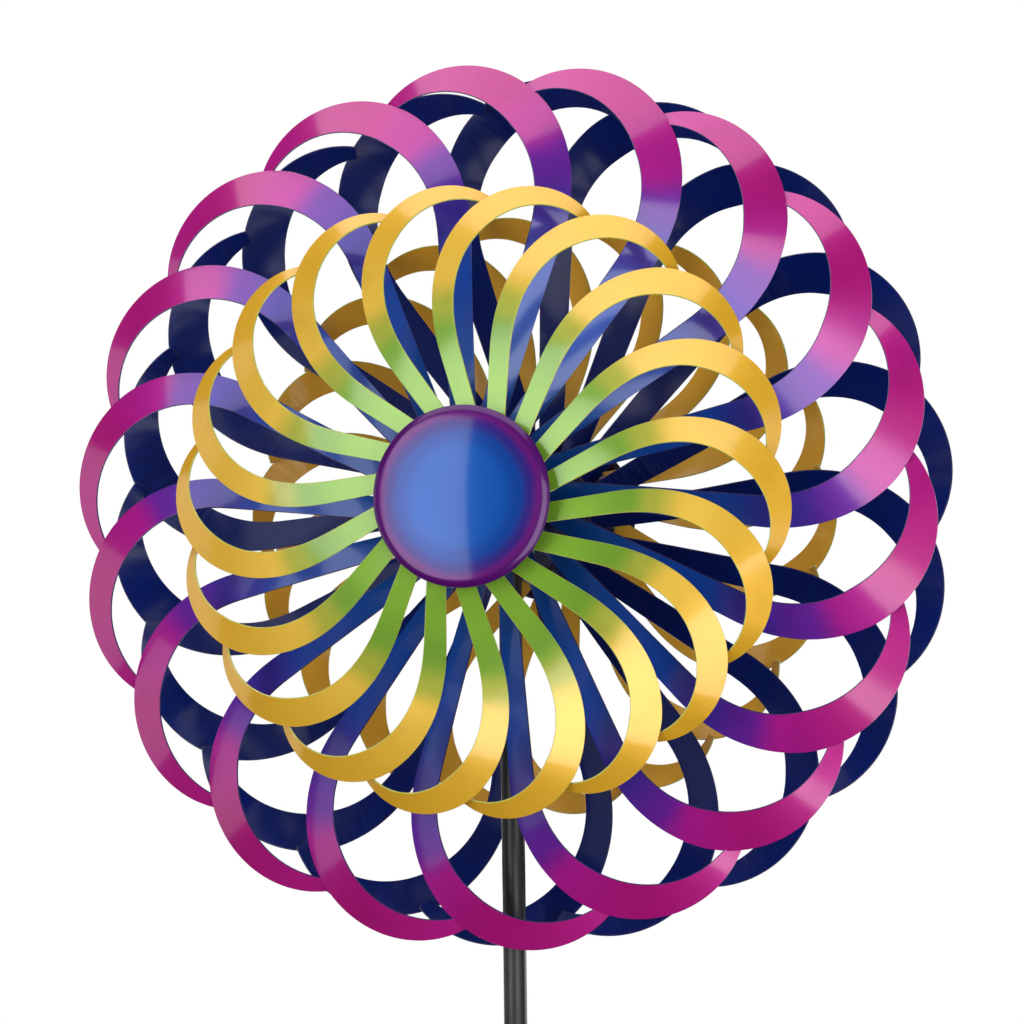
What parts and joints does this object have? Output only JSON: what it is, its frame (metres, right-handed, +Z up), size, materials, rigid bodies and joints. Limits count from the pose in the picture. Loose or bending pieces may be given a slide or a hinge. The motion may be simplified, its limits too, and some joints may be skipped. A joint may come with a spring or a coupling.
{
  "type": "kinetic wind sculpture",
  "caption": "Garden wind spinner: two back-to-back domed wheels of hooked painted blades on one axle, on a sectional pole with a ground fork.",
  "frame": {"origin": "on the pole's axis at ground level, where the middle prong leaves the socket", "axes": "+Z up along the pole, -Y out of the front wheel along the axle, +X to the right seen from the front"},
  "size_m": [0.6096, 0.265, 1.9046],
  "materials": {
    "gold_paint": "airbrushed satin gloss, gold with green roots, plain ochre back",
    "magenta_paint": "airbrushed satin gloss, magenta to purple with blue roots, plain navy back",
    "cap_paint": "airbrushed gloss, blue middle and purple rim",
    "hub_paint": "navy satin gloss",
    "black_powder": "satin black powder coat",
    "bearing_steel": "ground steel",
    "zinc_plate": "bright zinc plating"
  },
  "bodies": {
    "stand": {"ground_fork_socket": "black_powder", "middle_prong": "black_powder", "side_prongs": "black_powder", "socket_screw": "zinc_plate", "lower_pole": "black_powder", "middle_pole": "black_powder", "upper_pole": "black_powder", "lower_coupler": "black_powder", "upper_coupler": "black_powder", "pole_screws": "zinc_plate", "axle_head": "black_powder", "head_screw": "zinc_plate", "axle_rod": "zinc_plate", "head_washers": "zinc_plate", "head_nuts": "zinc_plate", "front_axle_spacer": "black_powder", "rear_axle_spacer": "black_powder", "front_race_spacer": "zinc_plate", "rear_race_spacer": "zinc_plate", "front_inner_races": "bearing_steel", "rear_inner_races": "bearing_steel", "end_washers": "zinc_plate", "end_lock_nuts": "zinc_plate"},
    "front_wheel": {"front_hub_barrel": "hub_paint", "front_outer_races": "bearing_steel", "front_bearing_balls": "bearing_steel", "front_bearing_shields": "bearing_steel", "front_large_drum": "hub_paint", "front_large_blades": "magenta_paint", "front_small_disc": "hub_paint", "front_small_blades": "gold_paint", "front_small_rivets": "zinc_plate", "front_cap": "cap_paint", "front_cap_studs": "zinc_plate", "front_cap_sleeves": "zinc_plate", "front_cap_nuts": "zinc_plate"},
    "rear_wheel": {"rear_hub_barrel": "hub_paint", "rear_outer_races": "bearing_steel", "rear_bearing_balls": "bearing_steel", "rear_bearing_shields": "bearing_steel", "rear_large_drum": "hub_paint", "rear_large_blades": "magenta_paint", "rear_small_disc": "hub_paint", "rear_small_blades": "gold_paint", "rear_small_rivets": "zinc_plate", "rear_cap": "cap_paint", "rear_cap_studs": "zinc_plate", "rear_cap_sleeves": "zinc_plate", "rear_cap_nuts": "zinc_plate"}
  },
  "joints": [
    {"name": "front_wheel_spin", "type": "hinge", "parent": "stand", "child": "front_wheel", "pos_m": [0, -0.08, 1.36], "axis": [0, -1, 0], "continuous": true},
    {"name": "rear_wheel_spin", "type": "hinge", "parent": "stand", "child": "rear_wheel", "pos_m": [0, 0.08, 1.36], "axis": [0, 1, 0], "continuous": true}
  ]
}
